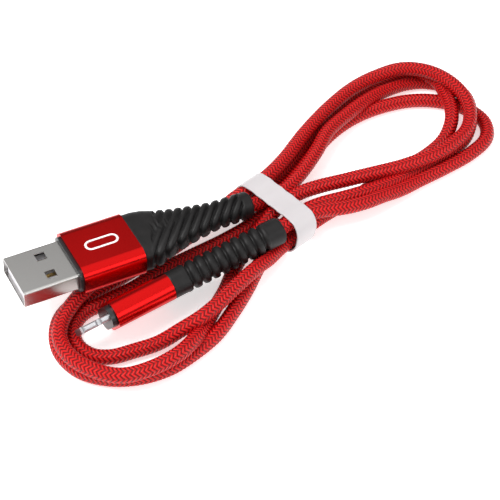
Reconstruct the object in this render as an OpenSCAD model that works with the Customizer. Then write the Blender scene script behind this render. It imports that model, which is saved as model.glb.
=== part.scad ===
// Charging cable, wound into a hank and held by a loose band.
// Millimetres, +Z up. The origin is on the floor under the middle of the hank.

/* [Cord] */
// Diameter of the braided cord
cord_d = 3.5; // [3.2:0.1:3.6]
// Height of the lower layer of turns
layer_low = 3.4; // [3.2:0.1:3.5]
// Height of the second layer of turns, from the floor
layer_top = 6.6; // [6:0.1:6.6]

/* [Band] */
// Length of the band along the hank
band_w = 6; // [5:0.5:7]
// Width of the band across the hank
band_across = 21.6; // [21.2:0.1:22]
// Height of the band
band_h = 9; // [8.8:0.1:9.4]
// Thickness of the band's sheet
band_t = 0.4; // [0.3:0.05:0.45]
// Direction of the hank at the band, from the x axis
band_yaw = 13; // [10:1:16]

/* [Wide plug] */
// Width of the metal shell
shell_w = 12; // [11.9:0.1:12.1]
// Height of the metal shell
shell_h = 4.5; // [4.4:0.1:4.6]
// Length of the shell that stands out of the collar
shell_out = 12.8; // [11.8:0.1:13.5]
// Width of the aluminium sleeve
sleeve_w = 15.6; // [15:0.1:16]
// Height of the aluminium sleeve
sleeve_h = 7.6; // [7.4:0.1:8]
// Length of the aluminium sleeve
sleeve_len = 14.8; // [14:0.1:15.5]
// Length of the plug from its mouth to the boot's tip
wide_len = 58.4; // [57:0.2:58.4]

/* [Tab plug] */
// Width of the contact tab
tab_w = 6.7; // [6.6:0.05:6.7]
// Thickness of the contact tab
tab_t = 1.5; // [1.45:0.05:1.5]
// Length of the tab that stands out of the collar
tab_out = 6.8; // [6.5:0.1:7]
// Width of the small sleeve
small_w = 9.6; // [9.4:0.1:9.8]
// Thickness of the small sleeve
small_h = 6.4; // [6.2:0.1:6.5]
// Length of the small sleeve
small_len = 14.4; // [14:0.1:15]
// Length of the plug from the tab's nose to the boot's tip
tab_len = 53; // [52:0.2:53.4]

/* [Boots] */
// Diameter of both boots at the tip
boot_tip_d = 6.5; // [6:0.1:6.5]
// Spacing of the boots' grooves
groove_pitch = 2.5; // [2.2:0.1:2.8]
// Depth of the boots' grooves
groove_depth = 0.5; // [0.3:0.1:0.6]

/* [Hidden] */
$fn = 64;

// The hank's middle, on the floor, and the bundle inside the band
mid = [10.2, 6.3];
// The middle of the whole hank, which becomes the origin
centre = [10.9, 7];
gap = 0.15;
waist_across = band_across - 2 * band_t - 2 * gap;
waist_h = band_h - 2 * band_t - 2 * gap;
waist_left = -band_w / 2 - 0.3;
waist_right = band_w / 2 + 2.4;

// Where each plug lies: mouth or nose, and the turns of its axis
wide_at = [-53.1, 10.6, 11.6];
wide_pitch = 4.5;
wide_yaw = -1.2;
tab_at = [-45.6, -5.1, 6.7];
tab_pitch = -0.3;
tab_yaw = 4.3;
tab_roll = -53;

// Outline of the left turns, round the outside and round the opening
left_out = [[-12, 16], [-22, 14.4], [-32, 11.8], [-41, 8.4], [-48, 3.6],
  [-51.4, -2.5], [-51.2, -9], [-48, -16], [-42, -20.6], [-35, -22.3],
  [-27, -21.8], [-19, -19], [-11, -14.6], [-3, -8.6]];
left_in = [[-4, 2.6], [-12, 4], [-22, 3.2], [-32, 1.6], [-39, 0],
  [-43.4, -1.6], [-43.6, -5.2], [-39.6, -8.8], [-33, -10.6], [-26, -11.4],
  [-19, -11], [-12.5, -6.8], [-7, -1.8]];

// Outline of the right turns, round the outside and round the opening
right_out = [[17.8, -1.8], [26, -2.1], [36, -2.2], [46, -1.4], [56, -1],
  [65, 0.4], [72, 3], [75, 8.6], [75, 15], [74.4, 22], [73.6, 29],
  [70.6, 34], [64.6, 36.3], [56, 36.3], [46, 33.8], [36, 30],
  [26, 24.2], [19, 20]];
right_in = [[22, 13], [30, 18.8], [38, 23], [46, 25], [54, 24.6],
  [61, 22.6], [66, 18.4], [66.4, 14], [63, 10.4], [56, 8.2], [47, 6.4],
  [38, 4.4], [29, 4.2], [22.6, 6]];

// Middle line of the upper turns on each side
left_upper = [[-21, -15.6], [-24, -18], [-29, -20], [-36, -20.3],
  [-43, -18.3], [-48, -13.8], [-49.3, -7.5], [-48, -1], [-44.6, 3]];
right_upper = [[15.8, 16.6], [21, 19.5], [30, 25], [40.5, 30], [49.5, 33.2],
  [57, 33.5], [63.5, 31.6], [68, 27.5], [70.3, 21], [70.5, 14.5],
  [68, 8.5], [60, 4], [49, 3], [38.5, 3.6], [28.5, 4.2], [18.8, 4.6]];

// A point of a smooth curve between b and c, with its neighbours a and d
function blend(a, b, c, d, t) =
  0.5 * (2 * b + (c - a) * t + (2 * a - 5 * b + 4 * c - d) * t * t
    + (3 * b - a - 3 * c + d) * t * t * t);
// A closed smooth curve through the points p
function closed(p, n = 4) =
  let (k = len(p))
  [for (i = [0 : k - 1]) for (j = [0 : n - 1])
    blend(p[(i + k - 1) % k], p[i], p[(i + 1) % k], p[(i + 2) % k], j / n)];
// An open smooth curve through the points p
function open(p, n = 4) =
  let (k = len(p))
  concat([for (i = [0 : k - 2]) for (j = [0 : n - 1])
    blend(p[max(i - 1, 0)], p[i], p[i + 1], p[min(i + 2, k - 1)], j / n)],
    [p[k - 1]]);
function side(p, i) =
  let (d = p[min(i + 1, len(p) - 1)] - p[max(i - 1, 0)])
  [-d[1], d[0]] / norm(d);
// The outline of a strip of half-width w along the curve p
function strip(p, w) =
  concat([for (i = [0 : len(p) - 1]) p[i] + w * side(p, i)],
    [for (i = [len(p) - 1 : -1 : 0]) p[i] - w * side(p, i)]);

// A block whose section in YZ is w by h with corners of radius r
module rounded_bar(x0, x1, w, h, r) {
  translate([x0, 0, 0]) rotate([90, 0, 90]) linear_extrude(x1 - x0)
    rounded_rect(w, h, r);
}

module rounded_rect(w, h, r) {
  square([w - 2 * r, h], center = true);
  square([w, h - 2 * r], center = true);
  for (sy = [-1, 1])
    for (sz = [-1, 1])
      translate([sy * (w / 2 - r), sz * (h / 2 - r)]) circle(r);
}

// Everything is laid out from the hank's own corner, then moved to the origin
module placed() { translate([-centre[0], -centre[1], 0]) children(); }

module at_band() { translate([mid[0], mid[1], 0]) rotate([0, 0, band_yaw]) children(); }
module at_wide() { translate(wide_at) rotate([0, wide_pitch, wide_yaw]) children(); }
module at_tab() {
  translate(tab_at) rotate([0, 0, tab_yaw]) rotate([0, tab_pitch, 0])
    rotate([tab_roll, 0, 0]) children();
}

// The bundle of strands inside the band
module cord_waist() {
  color("crimson") placed() at_band() translate([0, 0, band_t + gap + waist_h / 2])
    rounded_bar(waist_left, waist_right, waist_across, waist_h, 3.6);
}

module cord_left_loops() {
  corner_a = [4.7, 15.3];
  corner_b = [9.2, -4.2];
  color("crimson") placed() difference() {
    union() {
      linear_extrude(layer_low) difference() {
        polygon(concat([corner_a], open(left_out), [corner_b, [12, 4]]));
        polygon(closed(left_in));
      }
      linear_extrude(layer_top) polygon(strip(open(left_upper), 1.9));
    }
    at_band() translate([waist_left, -40, -1]) cube([80, 80, 30]);
  }
}

module cord_right_loops() {
  color("crimson") placed() difference() {
    union() {
      linear_extrude(layer_low) difference() {
        polygon(concat(open(right_out), [[10, 15], [10, 2]]));
        polygon(closed(right_in));
      }
      linear_extrude(layer_top) polygon(strip(open(right_upper), 2.1));
    }
    at_band() translate([-80 + waist_right, -40, -1]) cube([80, 80, 30]);
  }
}

module band() {
  color("gainsboro") placed() at_band() translate([0, 0, band_h / 2]) difference() {
    rounded_bar(-band_w / 2, band_w / 2, band_across, band_h, 4);
    rounded_bar(-band_w, band_w, band_across - 2 * band_t, band_h - 2 * band_t, 3.6);
  }
}

// Wide plug, along +X from its mouth
module usb_shell() {
  wall = 0.3;
  color("silver") placed() at_wide() difference() {
    rounded_bar(0, shell_out + 5.9, shell_w, shell_h, 0.5);
    rounded_bar(-1, shell_out + 7, shell_w - 2 * wall, shell_h - 2 * wall, 0.25);
    for (s = [-1, 1])
      translate([6.4, s * 2.9 - 1.15, 0]) cube([2.3, 2.3, shell_h]);
  }
}

module usb_tongue() {
  color("whitesmoke") placed() at_wide() difference() {
    translate([0.8, -5.4, -1.95]) cube([17.2, 10.8, 1.9]);
    for (i = [-1.5 : 1.5])
      translate([2, i * 2.3 - 0.55, -0.3]) cube([17, 1.1, 1]);
  }
}

module usb_contacts() {
  color("gold") placed() at_wide()
    for (i = [-1.5 : 1.5])
      translate([2.2, i * 2.3 - 0.5, -0.3]) cube([16.5, 1, 0.25]);
}

module usb_collar() {
  color("black") placed() at_wide() difference() {
    rounded_bar(shell_out, shell_out + 3, 14.2, 6.2, 1.9);
    rounded_bar(0, 20, shell_w + 0.04, shell_h + 0.04, 0.5);
  }
}

module usb_sleeve() {
  x0 = shell_out + 0.7;
  color("crimson") placed() at_wide() difference() {
    rounded_bar(x0, x0 + sleeve_len, sleeve_w, sleeve_h, 2.6);
    rounded_bar(x0 - 1, x0 + sleeve_len + 1, sleeve_w - 1.36, sleeve_h - 1.36, 1.92);
    translate([0, 0, sleeve_h / 2 - 0.1]) mark_shape(0.2);
  }
}

// A plain pill outline
module mark_shape(h) {
  x0 = shell_out + 0.7 + sleeve_len / 2;
  translate([x0, 0, 0]) linear_extrude(h) difference() {
    rounded_rect(8, 3, 1.49);
    rounded_rect(7, 2, 0.99);
  }
}

module usb_mark() {
  color("white") placed() at_wide() translate([0, 0, sleeve_h / 2 - 0.1]) mark_shape(0.1);
}

module usb_inner_mould() {
  x0 = shell_out + 6.1;
  color("ivory") placed() at_wide() difference() {
    rounded_bar(x0, shell_out + 0.7 + sleeve_len - 1, 14, 6, 1.8);
    for (i = [-1.5 : 1.5])
      translate([x0 - 1, i * 2.3, 0]) rotate([0, 90, 0]) cylinder(d = 1, h = 20);
  }
}

module usb_wires() {
  x0 = shell_out + 6.1;
  color("green") placed() at_wide()
    for (i = [-1.5 : 1.5])
      translate([x0, i * 2.3, 0]) rotate([0, 90, 0]) cylinder(d = 0.9, h = 8.5);
}

module usb_shell_rear() {
  color("silver") placed() at_wide() translate([shell_out + 5.9, -5.5, -1.6]) cube([0.2, 11, 3.2]);
}

// A boot: flat neck, taper and round tip, with a bore for the cord
module boot(x0, x1, w, h, x_round, n, tip_cap) {
  taper = x_round - x0 - 5;
  difference() {
    union() {
      rounded_bar(x0, x0 + 5, w, h, h / 2 - 0.4);
      intersection() {
        rounded_bar(x0 + 5, x_round, w, h, h / 2 - 0.4);
        translate([x0 + 5, 0, 0]) linear_extrude(20, center = true)
          polygon([[0, w / 2], [taper * 0.45, w / 2 - 1.6], [taper, boot_tip_d / 2],
            [taper, -boot_tip_d / 2], [taper * 0.45, 1.6 - w / 2], [0, -w / 2]]);
      }
      translate([x_round, 0, 0]) rotate([0, 90, 0]) cylinder(d = boot_tip_d, h = x1 - x_round);
    }
    translate([x0 - 1, 0, 0]) rotate([0, 90, 0]) cylinder(d = cord_d + 0.06, h = 80);
    for (i = [0 : n - 1])
      translate([x1 - tip_cap - groove_pitch * (i + 0.5), 0, 0]) groove_ring(w, h);
  }
}

// A shallow slot across the top and the bottom of a boot
module groove_ring(w, h) {
  for (s = [-1, 1])
    translate([-0.6, -w / 2, s > 0 ? h / 2 - groove_depth : -h / 2 - 1 + groove_depth])
      cube([1.2, w, 1]);
}

module usb_boot() {
  x0 = shell_out + 0.7 + sleeve_len;
  color("dimgray") placed() at_wide() boot(x0, wide_len, 15.2, 7, x0 + 18, 7, 3);
}

module usb_cord_end() {
  x0 = shell_out + 0.7 + sleeve_len - 0.9;
  color("crimson") placed() difference() {
    at_wide() translate([x0, 0, 0]) rotate([0, 90, 0]) cylinder(d = cord_d, h = wide_len + 4 - x0);
    at_band() translate([waist_left, -40, -1]) cube([80, 80, 30]);
  }
}

// Tab plug, along +X from the tab's nose
module tab_frame() {
  color("silver") placed() at_tab() difference() {
    intersection() {
      rounded_bar(0, tab_out + 4, tab_w, tab_t, 0.74);
      linear_extrude(10, center = true) {
        translate([1.2, -tab_w / 2]) square([20, tab_w]);
        translate([0, 1.2 - tab_w / 2]) square([20, tab_w - 2.4]);
        for (s = [-1, 1]) translate([1.2, s * (tab_w / 2 - 1.2)]) circle(1.2);
      }
    }
    translate([0.9, -2.6, -5]) cube([5, 5.2, 10]);
    for (s = [-1, 1])
      translate([4.2, s * (tab_w / 2 + 0.45), -5]) cylinder(d = 1.8, h = 10);
  }
}

module tab_contacts() {
  color("gold") placed() at_tab()
    for (i = [-3.5 : 3.5])
      for (s = [-1, 1])
        translate([1.3, i * 0.62 - 0.21, s * 0.6 - 0.15]) cube([4.2, 0.42, 0.3]);
}

module tab_circuit_board() {
  color("darkgreen") placed() at_tab() translate([0.9, -2.6, -0.45]) cube([5, 5.2, 0.9]);
}

module tab_chip_can() {
  color("lightgray") placed() at_tab() translate([tab_out + 4, -2.6, -1.2]) cube([5, 5.2, 2.4]);
}

module tab_collar() {
  color("black") placed() at_tab() difference() {
    rounded_bar(tab_out, tab_out + 3.2, 8.2, 5, 2.4);
    rounded_bar(0, 30, tab_w + 0.04, tab_t + 0.04, 0.75);
  }
}

module tab_sleeve() {
  x0 = tab_out + 1.2;
  color("crimson") placed() at_tab() difference() {
    rounded_bar(x0, x0 + small_len, small_w, small_h, 3);
    rounded_bar(x0 - 1, x0 + small_len + 1, small_w - 1.3, small_h - 1.3, 2.4);
  }
}

module tab_inner_mould() {
  x0 = tab_out + 9;
  color("ivory") placed() at_tab() difference() {
    rounded_bar(x0, tab_out + small_len + 0.4, 8.2, 5, 2.3);
    for (s = [-1, 1])
      translate([x0 - 1, s * 1.4, 0]) rotate([0, 90, 0]) cylinder(d = 1, h = 20);
  }
}

module tab_wires() {
  x0 = tab_out + 9;
  color("white") placed() at_tab()
    for (s = [-1, 1])
      translate([x0, s * 1.4, 0]) rotate([0, 90, 0]) cylinder(d = 0.9, h = small_len - 8.5);
}

module tab_boot() {
  x0 = tab_out + 1.2 + small_len;
  color("dimgray") placed() at_tab() boot(x0, tab_len, 9.2, 6.4, x0 + 13, 7, 5);
}

module tab_cord_end() {
  x0 = tab_out + small_len + 0.5;
  color("crimson") placed() difference() {
    at_tab() translate([x0, 0, 0]) rotate([0, 90, 0]) cylinder(d = cord_d, h = tab_len + 4 - x0);
    at_band() translate([waist_left, -40, -1]) cube([80, 80, 30]);
  }
}

cord_waist();
cord_left_loops();
cord_right_loops();
band();
usb_shell();
usb_shell_rear();
usb_tongue();
usb_contacts();
usb_collar();
usb_sleeve();
usb_mark();
usb_inner_mould();
usb_wires();
usb_boot();
usb_cord_end();
tab_frame();
tab_contacts();
tab_circuit_board();
tab_chip_can();
tab_collar();
tab_sleeve();
tab_inner_mould();
tab_wires();
tab_boot();
tab_cord_end();
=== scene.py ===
"""Looks of the charging cable: braided cord, ribbed boots, band, metal and plastic finishes."""
import math
import bmesh
import bpy
import numpy as np
from mathutils import Matrix, Vector


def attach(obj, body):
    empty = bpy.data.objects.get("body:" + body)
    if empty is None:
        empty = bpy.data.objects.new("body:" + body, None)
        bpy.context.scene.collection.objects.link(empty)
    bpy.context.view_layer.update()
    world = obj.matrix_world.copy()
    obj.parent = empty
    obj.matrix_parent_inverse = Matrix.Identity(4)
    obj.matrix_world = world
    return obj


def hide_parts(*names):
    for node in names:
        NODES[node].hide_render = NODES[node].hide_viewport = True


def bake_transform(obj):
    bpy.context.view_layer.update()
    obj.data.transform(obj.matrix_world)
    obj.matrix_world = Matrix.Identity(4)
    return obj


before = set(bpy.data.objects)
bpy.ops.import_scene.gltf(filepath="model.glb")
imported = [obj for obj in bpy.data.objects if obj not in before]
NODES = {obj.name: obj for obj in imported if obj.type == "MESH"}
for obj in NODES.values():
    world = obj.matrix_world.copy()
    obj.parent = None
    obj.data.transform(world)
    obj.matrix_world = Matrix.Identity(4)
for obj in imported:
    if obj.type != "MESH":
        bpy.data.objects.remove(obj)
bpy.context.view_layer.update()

MM = 0.001

# The hank's own corner, which the route and the plugs are laid out from, seen from the origin
CORNER = Vector((-10.9, -7.0, 0.0))

# ---------------------------------------------------------------- camera

scene = bpy.context.scene
camera_data = bpy.data.cameras.new("camera")
camera = bpy.data.objects.new("camera", camera_data)
scene.collection.objects.link(camera)
scene.camera = camera
CAMERA_ELEVATION = 48.0
CAMERA_TURN = -30.0
CAMERA_DISTANCE = 330.0
aim = (Vector((0, 0, 3)) + CORNER) * MM
camera.rotation_euler = (math.radians(90 - CAMERA_ELEVATION), 0, math.radians(CAMERA_TURN))
look = camera.rotation_euler.to_matrix() @ Vector((0, 0, -1))
camera.location = aim - look * CAMERA_DISTANCE * MM
camera_data.sensor_width = 36
camera_data.lens = 103.5
camera_data.clip_start = 0.01

# ---------------------------------------------------------------- cord

CORD_D = 3.5
# The cord's route from the wide plug's boot to the tab plug's boot, in millimetres
ROUTE = [
    (4.5, 9.5, 6.6), (9, 9.5, 5.9), (15, 10.5, 5.3), (21, 13, 5.3), (29, 18, 5.3),
    (35, 22.5, 5.3), (42, 25.5, 4.9), (50, 28.5, 3.9), (58, 30.5, 2.5), (64.5, 30.5, 1.8),
    (69.5, 28, 1.8), (72, 23, 3), (72.5, 17, 4.4), (70.5, 11.5, 3.2), (66, 7, 1.9),
    (60, 4.5, 1.8), (53, 3.5, 1.8), (46, 2.5, 2.4), (40, 1.5, 3.5), (33.5, 1, 4.6),
    (27, 1.5, 5.1), (20.5, 3, 4.7), (15, 3.5, 3.8), (10, 2.5, 2.9), (5.5, 0, 2.1),
    (-0.5, -4.5, 1.8), (-6, -9, 1.8), (-12.5, -13.5, 1.8), (-18.5, -17, 1.8),
    (-25, -19, 1.8), (-31.5, -20, 1.8), (-38, -19, 1.8), (-44, -16, 1.8),
    (-48.5, -11, 1.8), (-50, -4.5, 1.8), (-48.5, 1, 1.8), (-45, 5, 1.8),
    (-39, 7, 1.8), (-31, 8, 1.8), (-22, 9.5, 1.8), (-14, 10.5, 1.8), (-7, 12, 2.6),
    (-1, 13, 4.2), (4.5, 14, 5.7), (9, 14.5, 6),
    (15, 16.5, 5.9), (21, 19.5, 5.6), (30, 25, 5.3), (40.5, 30, 5.3), (49.5, 33, 5.3),
    (57, 33.5, 5.6), (63, 32, 6.4), (67.5, 27.5, 7.2), (70, 21.5, 7.4),
    (70.5, 15, 6.8), (68.5, 9.5, 5.8), (65, 6, 5.3), (60, 4, 5.3), (55, 3, 5.3),
    (49, 3, 5.3), (43.5, 3.5, 5.3), (38.5, 4.5, 5.3), (33.5, 5.5, 5.3),
    (28.5, 6.5, 5.3), (23.5, 7.5, 5.3), (18.5, 8, 5.3), (14, 7.5, 5.1), (10, 6.5, 4.3),
    (6, 5, 3.1), (1.5, 2.5, 2), (-4.5, -1.5, 1.8), (-10.5, -7, 1.8), (-16, -11, 1.8),
    (-20, -14.5, 2.4), (-24, -17.5, 4.2), (-29, -20, 5.3), (-36, -20.5, 5.3),
    (-42.5, -19, 5.3), (-47, -14.5, 5.3), (-49.5, -9, 5.3), (-49.5, -4, 5.3),
    (-47.5, 0, 5.3), (-43.5, 3.5, 5.3), (-38.5, 6.5, 5), (-31, 10, 4.2),
    (-22, 12.5, 2.8), (-13, 14, 1.8), (-5, 15, 1.8), (2, 15.5, 1.8), (9, 15, 2.2),
    (15, 16.5, 2.3), (21, 19, 2), (27.5, 23, 1.8), (36.5, 28, 1.8), (46, 32, 1.8),
    (55, 34.5, 1.8), (62, 34.5, 2.2), (67, 32, 3.4), (69.5, 26.5, 4.4),
    (69, 21.5, 4.5), (67.5, 16.5, 4.6), (64.5, 11.5, 4.3), (60, 8, 3), (54.5, 6.5, 2),
    (47, 5.5, 1.8), (40, 5, 1.8), (33, 3.5, 1.8), (26.5, 2.5, 1.8), (20, 1.5, 1.8),
    (14.5, 0, 2.1), (9.5, -1.5, 2.3),
    (5.5, -3, 2.6), (2, -5, 3.6), (-1.5, -6.5, 4.6), (-5, -8, 5.2), (-10, -10, 5.3),
    (-15, -12, 5.3), (-20, -13.5, 5.2), (-25, -13.5, 4), (-30.5, -13, 2.2),
    (-36, -12, 1.8), (-41, -11, 1.8), (-44.5, -8.5, 1.8), (-46, -4, 1.8), (-44.5, 0.5, 1.8),
    (-41, 3, 1.8), (-36, 3.5, 1.8), (-28, 4, 1.8), (-20, 5.5, 1.8), (-11.5, 6, 1.8),
    (-3, 6.5, 1.8), (4.5, 7.5, 2), (9.5, 9, 2.3), (14, 12, 2.2),
    (20, 15, 1.9), (28, 19.5, 1.8), (36, 24, 1.8), (45, 26.5, 1.8), (54, 26.5, 1.8),
    (62, 24.5, 1.8), (68, 20.5, 1.8), (72, 15, 1.8), (73, 9, 1.8), (70, 4, 1.8),
    (63.5, 1.5, 1.8), (55, 0.5, 1.8), (47, 0, 1.9), (41, -1, 2.7), (35.5, -1.5, 3.9),
    (30, -2, 4.9), (24.5, -1.5, 5.6), (19, 0, 6.1), (14, 0.5, 6.3), (9, -0.5, 6.8),
    (4.5, -1.5, 7),
]
# The mesh tube: spacing of its rings, and points around it
RING_STEP = 0.25
AROUND = 24
# The braid: length of a stitch, columns around, slant of the Vs, depth of the valleys between
# columns, and how far the stitches rise from a core that is slightly thinner than the cord
STITCH = 0.95
COLUMNS = 6
SLANT = 0.8
VALLEY = 0.6
CORE_INSET = 0.1
RISE = 0.12
# Least clearance under the cord
LIFT = 0.03


def smooth_line(points, step):
    """Points at an even spacing along a smooth curve through points, in millimetres."""
    p = np.array(points, float)
    q = np.vstack([2 * p[0] - p[1], p, 2 * p[-1] - p[-2]])
    out = []
    for a, b, c, d in zip(q, q[1:], q[2:], q[3:]):
        ka, kb, kc = (np.linalg.norm(v) ** 0.5 for v in (b - a, c - b, d - c))
        t0, t1, t2, t3 = 0, ka, ka + kb, ka + kb + kc
        t = np.linspace(t1, t2, 40, endpoint=False)[:, None]
        a1 = (t1 - t) / (t1 - t0) * a + (t - t0) / (t1 - t0) * b
        a2 = (t2 - t) / (t2 - t1) * b + (t - t1) / (t2 - t1) * c
        a3 = (t3 - t) / (t3 - t2) * c + (t - t2) / (t3 - t2) * d
        b1 = (t2 - t) / (t2 - t0) * a1 + (t - t0) / (t2 - t0) * a2
        b2 = (t3 - t) / (t3 - t1) * a2 + (t - t1) / (t3 - t1) * a3
        out.append((t2 - t) / (t2 - t1) * b1 + (t - t1) / (t2 - t1) * b2)
    line = np.vstack(out + [p[-1:]])
    run = np.concatenate([[0], np.cumsum(np.linalg.norm(np.diff(line, axis=0), axis=1))])
    even = np.linspace(0, run[-1], int(run[-1] / step) + 1)
    line = np.stack([np.interp(even, run, line[:, k]) for k in range(3)], 1)
    kernel = np.ones(9) / 9
    soft = np.stack([np.convolve(line[:, k], kernel, mode="same") for k in range(3)], 1)
    soft[:5], soft[-5:] = line[:5], line[-5:]
    return soft, even


def grid_mesh(name, rings, along):
    """A mesh through closed rings of points; its UVs run around each ring and along the rings."""
    count, around = rings.shape[:2]
    mesh = bpy.data.meshes.new(name)
    i = np.arange(count - 1)[:, None]
    j = np.arange(around)[None, :]
    k = (j + 1) % around
    faces = np.stack(
        [i * around + j, i * around + k, (i + 1) * around + k, (i + 1) * around + j], -1
    ).reshape(-1, 4)
    mesh.from_pydata(rings.reshape(-1, 3).tolist(), [], faces.tolist())
    u0 = np.broadcast_to(j / around, (count - 1, j.size))
    u1 = np.broadcast_to((j + 1) / around, (count - 1, j.size))
    v0 = np.broadcast_to(along[:-1, None], u0.shape)
    v1 = np.broadcast_to(along[1:, None], u0.shape)
    corners = np.stack(
        [np.stack(pair, -1) for pair in ((u0, v0), (u1, v0), (u1, v1), (u0, v1))], -2
    )
    layer = mesh.uv_layers.new(name="UVMap")
    layer.data.foreach_set("uv", corners.reshape(-1).astype(np.float32))
    mesh.polygons.foreach_set("use_smooth", [True] * len(mesh.polygons))
    mesh.update()
    piece = bpy.data.objects.new(name, mesh)
    scene.collection.objects.link(piece)
    return piece


def stitch_height(u, v):
    """How far the braid stands out, from 0 to 1, at turn u and length v in millimetres."""
    column = np.abs((u * COLUMNS) % 1 - 0.5) * 2
    wave = 0.5 + 0.5 * np.cos(2 * np.pi * (v / STITCH + SLANT * column))
    edge = 1 - VALLEY * column ** 6
    return wave * edge


def make_cord():
    """The whole cord as one tube along the route, with its stitches raised."""
    line, along = smooth_line(ROUTE, RING_STEP)
    line = line + np.array(CORNER)
    line[:, 2] = np.maximum(line[:, 2], CORD_D / 2 + LIFT)
    tangent = np.gradient(line, axis=0)
    tangent /= np.linalg.norm(tangent, axis=1)[:, None]
    side = np.cross([0, 0, 1.0], tangent[0])
    sides = []
    for t in tangent:
        side = side - t * (side @ t)
        side = side / np.linalg.norm(side)
        sides.append(side)
    sides = np.array(sides)
    ups = np.cross(tangent, sides)
    u = np.arange(AROUND) / AROUND
    angle = 2 * np.pi * u
    radius = CORD_D / 2 - CORE_INSET + RISE * stitch_height(u[None, :], along[:, None])
    rings = line[:, None] + radius[..., None] * (
        np.cos(angle)[None, :, None] * sides[:, None] + np.sin(angle)[None, :, None] * ups[:, None]
    )
    piece = grid_mesh("cord_braid", rings * MM, along)
    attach(piece, "cord")
    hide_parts("cord_waist", "cord_left_loops", "cord_right_loops")
    return piece


cord_braid = make_cord()

# ---------------------------------------------------------------- where the plugs lie


def turn(axis, degrees):
    return Matrix.Rotation(math.radians(degrees), 4, axis)


WIDE = Matrix.Translation(Vector((-53.1, 10.6, 11.6)) + CORNER) @ turn("Z", -1.2) @ turn("Y", 4.5)
TAB = (
    Matrix.Translation(Vector((-45.6, -5.1, 6.7)) + CORNER)
    @ turn("Z", 4.3) @ turn("Y", -0.3) @ turn("X", -53)
)
BAND = Matrix.Translation(Vector((10.2, 6.3, 0.0)) + CORNER) @ turn("Z", 13)


def placed(points, matrix):
    """Points in a plug's own millimetres, moved to the row frame in metres."""
    m = np.array(matrix)
    return (points @ m[:3, :3].T + m[:3, 3]) * MM


# ---------------------------------------------------------------- boots


def section(width, height, power, turns):
    """A rounded outline, between an ellipse at power 2 and a rectangle above it."""
    c, s = np.cos(turns), np.sin(turns)
    return np.stack(
        [
            width / 2 * np.sign(c) * np.abs(c) ** (2 / power),
            height / 2 * np.sign(s) * np.abs(s) ** (2 / power),
        ],
        -1,
    )


# Spacing of a boot's rings and points around it
BOOT_STEP = 0.18
BOOT_AROUND = 96
# Height of the ribs' crowns, and half-width of a groove as a part of the pitch
RIB_CROWN = 0.12
GROOVE_HALF = 0.2
# Lengths over which the tip and the sleeve's end are rounded off
TIP_ROUND = 0.6
NECK_ROUND = 0.25


def make_boot(name, matrix, profile, grooves, pitch, slant, depth, nodes):
    """A flexible boot: smooth neck, slanted grooves and round tip.

    The profile's rows are x, width, height and the power of the section.
    """
    profile = np.array(profile, float)
    x0, x1 = profile[0, 0], profile[-1, 0]
    xs = np.arange(x0, x1 + 0.01, BOOT_STEP)
    turns = np.linspace(0, 2 * np.pi, BOOT_AROUND, endpoint=False)
    rings = []
    for x in xs:
        w, h, power = (np.interp(x, profile[:, 0], profile[:, k]) for k in (1, 2, 3))
        ring = section(w, h, power, turns)
        reach = np.linalg.norm(ring, axis=1)
        phase = (x - slant * ring[:, 0] - grooves[0]) / pitch
        inside = (x - slant * ring[:, 0] * 0.6 > grooves[0]) & (x < grooves[1])
        near_groove = np.clip(1 - np.abs((phase % 1) - 0.5) / GROOVE_HALF, 0, 1)
        cut = depth * near_groove ** 0.5 * inside
        crown = RIB_CROWN * np.cos(2 * np.pi * phase) * inside
        round_tip = max(0.0, TIP_ROUND - (x1 - x)) ** 2 * 1.4
        round_neck = max(0.0, NECK_ROUND - (x - x0)) * 0.6
        scale = 1 - (cut - crown + round_tip + round_neck) / reach
        ring = ring * scale[:, None]
        rings.append(np.column_stack([np.full(len(ring), x), ring]))
    hole = section(CORD_D - 0.3, CORD_D - 0.3, 2, turns)
    rings.append(np.column_stack([np.full(len(hole), x1 + 0.02), hole]))
    rings = placed(np.array(rings), matrix)
    along = np.append(xs, x1 + 1)
    piece = grid_mesh(name, rings, along)
    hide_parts(*nodes)
    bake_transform(piece)
    return piece


wide_boot_skin = make_boot(
    "wide_boot_skin", WIDE,
    [(28.3, 15.2, 7.2, 3.4), (31, 15.2, 7.2, 3.4), (33.4, 14.4, 7.1, 3.2), (36, 12.2, 6.9, 3),
     (39.5, 10.2, 6.7, 2.7), (43, 8.8, 6.6, 2.4), (49, 6.7, 6.5, 2), (58.4, 6.4, 6.4, 2)],
    grooves=(33.4, 56), pitch=2.5, slant=0.85, depth=0.7, nodes=("usb_boot", "usb_cord_end"),
)
tab_boot_skin = make_boot(
    "tab_boot_skin", TAB,
    [(22.4, 9.2, 6.3, 2.8), (26, 9.1, 6.3, 2.8), (30, 8, 6.4, 2.4), (35.5, 6.8, 6.4, 2),
     (53, 6.4, 6.4, 2)],
    grooves=(27, 48.4), pitch=2.45, slant=0.22, depth=0.6, nodes=("tab_boot", "tab_cord_end"),
)

# ---------------------------------------------------------------- band

# Width of the strip, width and height of the loop, its corners' radius and the sheet's thickness
BAND_W, BAND_ACROSS, BAND_H, BAND_R, BAND_T = 6.0, 21.6, 9.0, 4.0, 0.4
# Lean along the hank for each millimetre of height, and half the depth of the top's sags
BAND_LEAN = 0.2
BAND_SAG = 0.08


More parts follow.
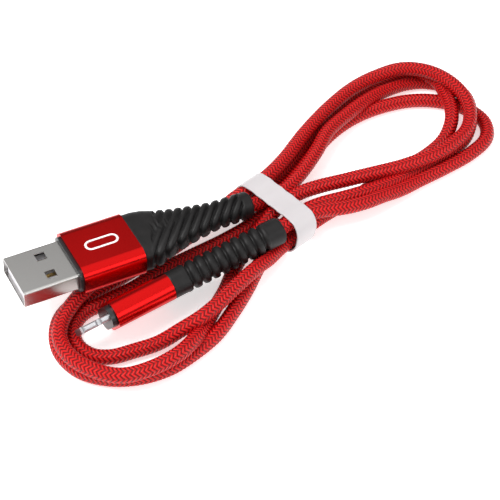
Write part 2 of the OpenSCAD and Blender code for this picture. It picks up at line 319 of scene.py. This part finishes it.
def make_band():
    """The loose band: a strip bent round the strands, leaning towards the bare loops."""
    arc = np.linspace(0, np.pi / 2, 15)
    inner = (BAND_ACROSS / 2 - BAND_R, BAND_H / 2 - BAND_R)
    outline = []
    for quarter, (sy, sz) in enumerate([(1, 1), (-1, 1), (-1, -1), (1, -1)]):
        a = arc + quarter * np.pi / 2
        ys, zs = sy * inner[0] + BAND_R * np.cos(a), sz * inner[1] + BAND_R * np.sin(a)
        outline += list(zip(ys, zs))
        if quarter % 2 == 0:
            steps = np.linspace(inner[0], -inner[0], 22)[1:-1] * (1 if sz > 0 else -1)
            outline += [(y, sz * BAND_H / 2) for y in steps]
    outline = np.array(outline)
    top = outline[:, 1] > BAND_H / 2 - 0.5
    outline[top, 1] -= BAND_SAG * (1 + np.cos(outline[top, 0] * 1.75))
    across = np.linspace(-BAND_W / 2, BAND_W / 2, 13)
    rings = []
    for u in across:
        lift = BAND_LEAN * outline[:, 1]
        rings.append(np.column_stack([u + lift, outline[:, 0], outline[:, 1] + BAND_H / 2]))
    piece = grid_mesh("band_strip", placed(np.array(rings), BAND), across)
    shell = piece.modifiers.new("sheet", "SOLIDIFY")
    shell.thickness = BAND_T * MM
    shell.offset = -1
    edge = piece.modifiers.new("edges", "BEVEL")
    edge.width = 0.1 * MM
    edge.segments = 2
    edge.limit_method = "ANGLE"
    edge.angle_limit = math.radians(50)
    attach(piece, "band")
    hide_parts("band")
    return piece


band_strip = make_band()

# ---------------------------------------------------------------- materials


class Finish:
    """A procedural material built node by node."""

    def __init__(self, name, color, roughness, metallic=0.0):
        self.material = bpy.data.materials.new(name)
        self.material.use_nodes = True
        self.nodes = self.material.node_tree.nodes
        self.links = self.material.node_tree.links
        self.surface = self.nodes["Principled BSDF"]
        self.set("Base Color", (*color, 1))
        self.set("Roughness", roughness)
        self.set("Metallic", metallic)

    def set(self, socket, value):
        self.surface.inputs[socket].default_value = value

    def node(self, kind, **inputs):
        made = self.nodes.new(kind)
        for key, value in inputs.items():
            made.inputs[key.replace("_", " ")].default_value = value
        return made

    def join(self, out, to):
        self.links.new(out, to)

    def math(self, operation, a, b=None):
        made = self.nodes.new("ShaderNodeMath")
        made.operation = operation
        for socket, value in zip(made.inputs, (a, b)):
            if value is None:
                continue
            if isinstance(value, (int, float)):
                socket.default_value = value
            else:
                self.join(value, socket)
        return made.outputs[0]

    def noise(self, scale, detail=4.0, stretch=(1, 1, 1)):
        place = self.node("ShaderNodeTexCoord")
        mapping = self.node("ShaderNodeMapping", Scale=stretch)
        self.join(place.outputs["Object"], mapping.inputs["Vector"])
        made = self.node("ShaderNodeTexNoise", Scale=scale, Detail=detail)
        self.join(mapping.outputs["Vector"], made.inputs["Vector"])
        return made.outputs["Fac"]

    def ramp(self, factor, *stops):
        made = self.node("ShaderNodeValToRGB")
        for index, (at, color) in enumerate(stops):
            if index < 2:
                stop = made.color_ramp.elements[index]
            else:
                stop = made.color_ramp.elements.new(at)
            stop.position = at
            stop.color = (*color, 1)
        self.join(factor, made.inputs["Fac"])
        return made.outputs["Color"]

    def bump(self, height, strength, distance):
        made = self.node("ShaderNodeBump", Strength=strength, Distance=distance)
        self.join(height, made.inputs["Height"])
        self.join(made.outputs["Normal"], self.surface.inputs["Normal"])

    def vary_roughness(self, factor, low, high):
        made = self.node("ShaderNodeMapRange", To_Min=low, To_Max=high)
        self.join(factor, made.inputs["Value"])
        self.join(made.outputs["Result"], self.surface.inputs["Roughness"])


def braid():
    """Red braid: V stitches in columns from the cord's own UVs, with painted shade darkening the
    valleys between them, painted light on their crowns and a random fibre tone.
    """
    f = Finish("braid_red", (0.5, 0.01, 0.015), 0.42)
    f.set("Specular IOR Level", 0.4)
    f.set("Specular Tint", (1, 0.45, 0.42, 1))
    uv = f.node("ShaderNodeTexCoord")
    split = f.node("ShaderNodeSeparateXYZ")
    f.join(uv.outputs["UV"], split.inputs["Vector"])
    u, v = split.outputs["X"], split.outputs["Y"]
    column = f.math("FRACT", f.math("MULTIPLY", u, float(COLUMNS)))
    column = f.math("MULTIPLY", f.math("ABSOLUTE", f.math("SUBTRACT", column, 0.5)), 2.0)
    phase = f.math("ADD", f.math("DIVIDE", v, STITCH), f.math("MULTIPLY", column, SLANT))
    wave = f.math("COSINE", f.math("MULTIPLY", phase, 2 * math.pi))
    wave = f.math("ADD", f.math("MULTIPLY", wave, 0.5), 0.5)
    edge = f.math("SUBTRACT", 1.0, f.math("MULTIPLY", f.math("POWER", column, 6.0), VALLEY))
    height = f.math("MULTIPLY", wave, edge)
    fibres = f.noise(9000, 2)
    relief_and_shade = f.math("ADD", f.math("MULTIPLY", height, 0.8), f.math("MULTIPLY", fibres, 0.25))
    # Painted shade and light: the colour runs from dark in the valleys to bright on the stitches'
    # crowns, plus random fibre tone.
    dark, mid, bright = (0.06, 0.0, 0.001), (0.4, 0.003, 0.005), (0.72, 0.012, 0.012)
    tint = f.ramp(relief_and_shade, (0.1, dark), (0.95, bright), (0.42, mid))
    f.join(tint, f.surface.inputs["Base Color"])
    f.bump(relief_and_shade, 0.9, 0.00018)
    return f.material


def anodised():
    """Red anodised aluminium, finely blasted."""
    f = Finish("anodised_red", (0.62, 0.01, 0.012), 0.28, 1.0)
    grain = f.noise(14000, 3)
    cloud = f.noise(120, 3)
    f.vary_roughness(cloud, 0.2, 0.28)
    tint = f.ramp(grain, (0.3, (0.52, 0.005, 0.007)), (0.7, (0.66, 0.012, 0.01)))
    f.join(tint, f.surface.inputs["Base Color"])
    f.bump(grain, 0.12, 0.00002)
    return f.material


def steel():
    """Drawn steel with fine lines along the plug."""
    f = Finish("satin_steel", (0.5, 0.49, 0.475), 0.24, 1.0)
    lines = f.noise(900, 4, (0.6, 14, 14))
    f.vary_roughness(lines, 0.16, 0.32)
    f.bump(lines, 0.08, 0.00002)
    return f.material


def rubber():
    """Charcoal boot rubber with a fine matte grain."""
    f = Finish("boot_charcoal", (0.015, 0.013, 0.012), 0.55)
    f.set("Specular IOR Level", 0.26)
    grain = f.noise(5200, 5)
    cloud = f.noise(300, 2)
    tint = f.ramp(cloud, (0.3, (0.006, 0.0055, 0.0055)), (0.7, (0.011, 0.01, 0.01)))
    f.join(tint, f.surface.inputs["Base Color"])
    f.vary_roughness(grain, 0.38, 0.6)
    f.bump(grain, 0.25, 0.00003)
    return f.material


def band_sheet():
    """Off-white satin sheet with soft creases."""
    f = Finish("band_white", (0.68, 0.64, 0.65), 0.42)
    f.set("Subsurface Weight", 0.1)
    f.set("Subsurface Radius", (0.001, 0.0008, 0.0008))
    creases = f.noise(160, 5)
    cloud = f.noise(60, 2)
    tint = f.ramp(cloud, (0.3, (0.52, 0.49, 0.5)), (0.7, (0.58, 0.55, 0.56)))
    f.join(tint, f.surface.inputs["Base Color"])
    f.bump(creases, 0.35, 0.0002)
    return f.material


def moulded(name, color, roughness, metallic=0.0):
    """Moulded plastic or plating with a fine grain."""
    f = Finish(name, color, roughness, metallic)
    grain = f.noise(4000, 3)
    f.vary_roughness(grain, roughness * 0.8, min(1.0, roughness * 1.25))
    f.bump(grain, 0.12, 0.00002)
    return f.material


BRAID, RED, STEEL, RUBBER, SHEET = braid(), anodised(), steel(), rubber(), band_sheet()
FINISHES = {
    "usb_shell": STEEL, "usb_shell_rear": STEEL, "tab_chip_can": STEEL,
    "usb_sleeve": RED, "tab_sleeve": RED,
    "usb_collar": moulded("collar_black", (0.012, 0.012, 0.013), 0.3),
    "usb_tongue": moulded("tongue_pale", (0.78, 0.76, 0.8), 0.45),
    "usb_contacts": moulded("contact_gold", (0.85, 0.62, 0.25), 0.25, 1.0),
    "usb_mark": moulded("mark_pale", (0.9, 0.85, 0.86), 0.5),
    "usb_inner_mould": moulded("mould_ivory", (0.78, 0.75, 0.68), 0.5),
    "usb_wires": moulded("wire_green", (0.05, 0.35, 0.1), 0.4),
    "tab_circuit_board": moulded("board_green", (0.02, 0.18, 0.07), 0.45),
}
FINISHES["tab_collar"] = FINISHES["usb_collar"]
FINISHES["tab_contacts"] = moulded("contact_plating", (0.6, 0.52, 0.42), 0.4, 1.0)
FINISHES["tab_frame"] = moulded("tab_plating", (0.55, 0.55, 0.57), 0.42, 1.0)
FINISHES["tab_inner_mould"] = FINISHES["usb_inner_mould"]
FINISHES["tab_wires"] = FINISHES["usb_wires"]


def paint(piece, material):
    """Give a piece one material, in every slot it has."""
    if not piece.material_slots:
        piece.data.materials.append(material)
    for place in piece.material_slots:
        place.material = material


for node_name, material in FINISHES.items():
    paint(NODES[node_name], material)
for piece, material in (
    (cord_braid, BRAID), (wide_boot_skin, RUBBER), (tab_boot_skin, RUBBER), (band_strip, SHEET),
):
    paint(piece, material)

# Softened edges on the metal and plastic parts, in millimetres
SOFT_EDGES = {"usb_sleeve": 0.25, "tab_sleeve": 0.25, "usb_collar": 0.3, "tab_collar": 0.3,
              "usb_shell": 0.07, "tab_frame": 0.12}
for node_name, width in SOFT_EDGES.items():
    edge = NODES[node_name].modifiers.new("soft edges", "BEVEL")
    edge.width = width * MM
    edge.segments = 3
    edge.limit_method = "ANGLE"
    edge.angle_limit = math.radians(40)

# ---------------------------------------------------------------- floor and light


def make_floor():
    """A white floor, faintly bright so that it stays white under the cable."""
    bm = bmesh.new()
    bmesh.ops.create_grid(bm, x_segments=1, y_segments=1, size=1.5)
    mesh = bpy.data.meshes.new("floor")
    bm.to_mesh(mesh)
    bm.free()
    floor = bpy.data.objects.new("floor", mesh)
    floor.location.z = -0.00005
    scene.collection.objects.link(floor)
    white = Finish("floor_white", (0.93, 0.93, 0.93), 0.6)
    white.set("Emission Color", (1, 1, 1, 1))
    white.set("Emission Strength", 0.55)
    paint(floor, white.material)


def make_light(name, size, power, place, aim_at):
    """A rectangular soft light at a place, facing a point."""
    data = bpy.data.lights.new(name, "AREA")
    data.shape = "RECTANGLE"
    data.size, data.size_y = size
    data.energy = power
    lamp = bpy.data.objects.new(name, data)
    lamp.location = place
    lamp.rotation_euler = (Vector(aim_at) - Vector(place)).to_track_quat("-Z", "Y").to_euler()
    scene.collection.objects.link(lamp)


# Brightness of the world for light, and of its walls and ceiling in reflections
EVEN_LIGHT = 0.62
WALLS = 0.3
CEILING = 1.25


def make_world():
    """Even white light on surfaces; in reflections, a bright ceiling over darker walls."""
    world = bpy.data.worlds.new("studio")
    world.use_nodes = True
    nodes, links = world.node_tree.nodes, world.node_tree.links
    background = nodes["Background"]
    background.inputs["Color"].default_value = (1, 1, 1, 1)
    place = nodes.new("ShaderNodeTexCoord")
    split = nodes.new("ShaderNodeSeparateXYZ")
    links.new(place.outputs["Generated"], split.inputs["Vector"])
    ceiling = nodes.new("ShaderNodeMapRange")
    heights = {"From Min": 0.68, "From Max": 0.78, "To Min": WALLS, "To Max": CEILING}
    for key, value in heights.items():
        ceiling.inputs[key].default_value = value
    links.new(split.outputs["Z"], ceiling.inputs["Value"])
    ray = nodes.new("ShaderNodeLightPath")
    choose = nodes.new("ShaderNodeMix")
    choose.inputs["A"].default_value = EVEN_LIGHT
    links.new(ray.outputs["Is Glossy Ray"], choose.inputs["Factor"])
    links.new(ceiling.outputs["Result"], choose.inputs["B"])
    links.new(choose.outputs["Result"], background.inputs["Strength"])
    scene.world = world


make_floor()
make_light("key", (0.4, 0.4), 4.0, (-0.3, 0.1, 0.6), (0, 0, 0))
make_light("fill", (0.6, 0.3), 1.5, (0.3, -0.55, 0.4), (0, 0, 0))
make_world()
scene.view_settings.view_transform = "Standard"
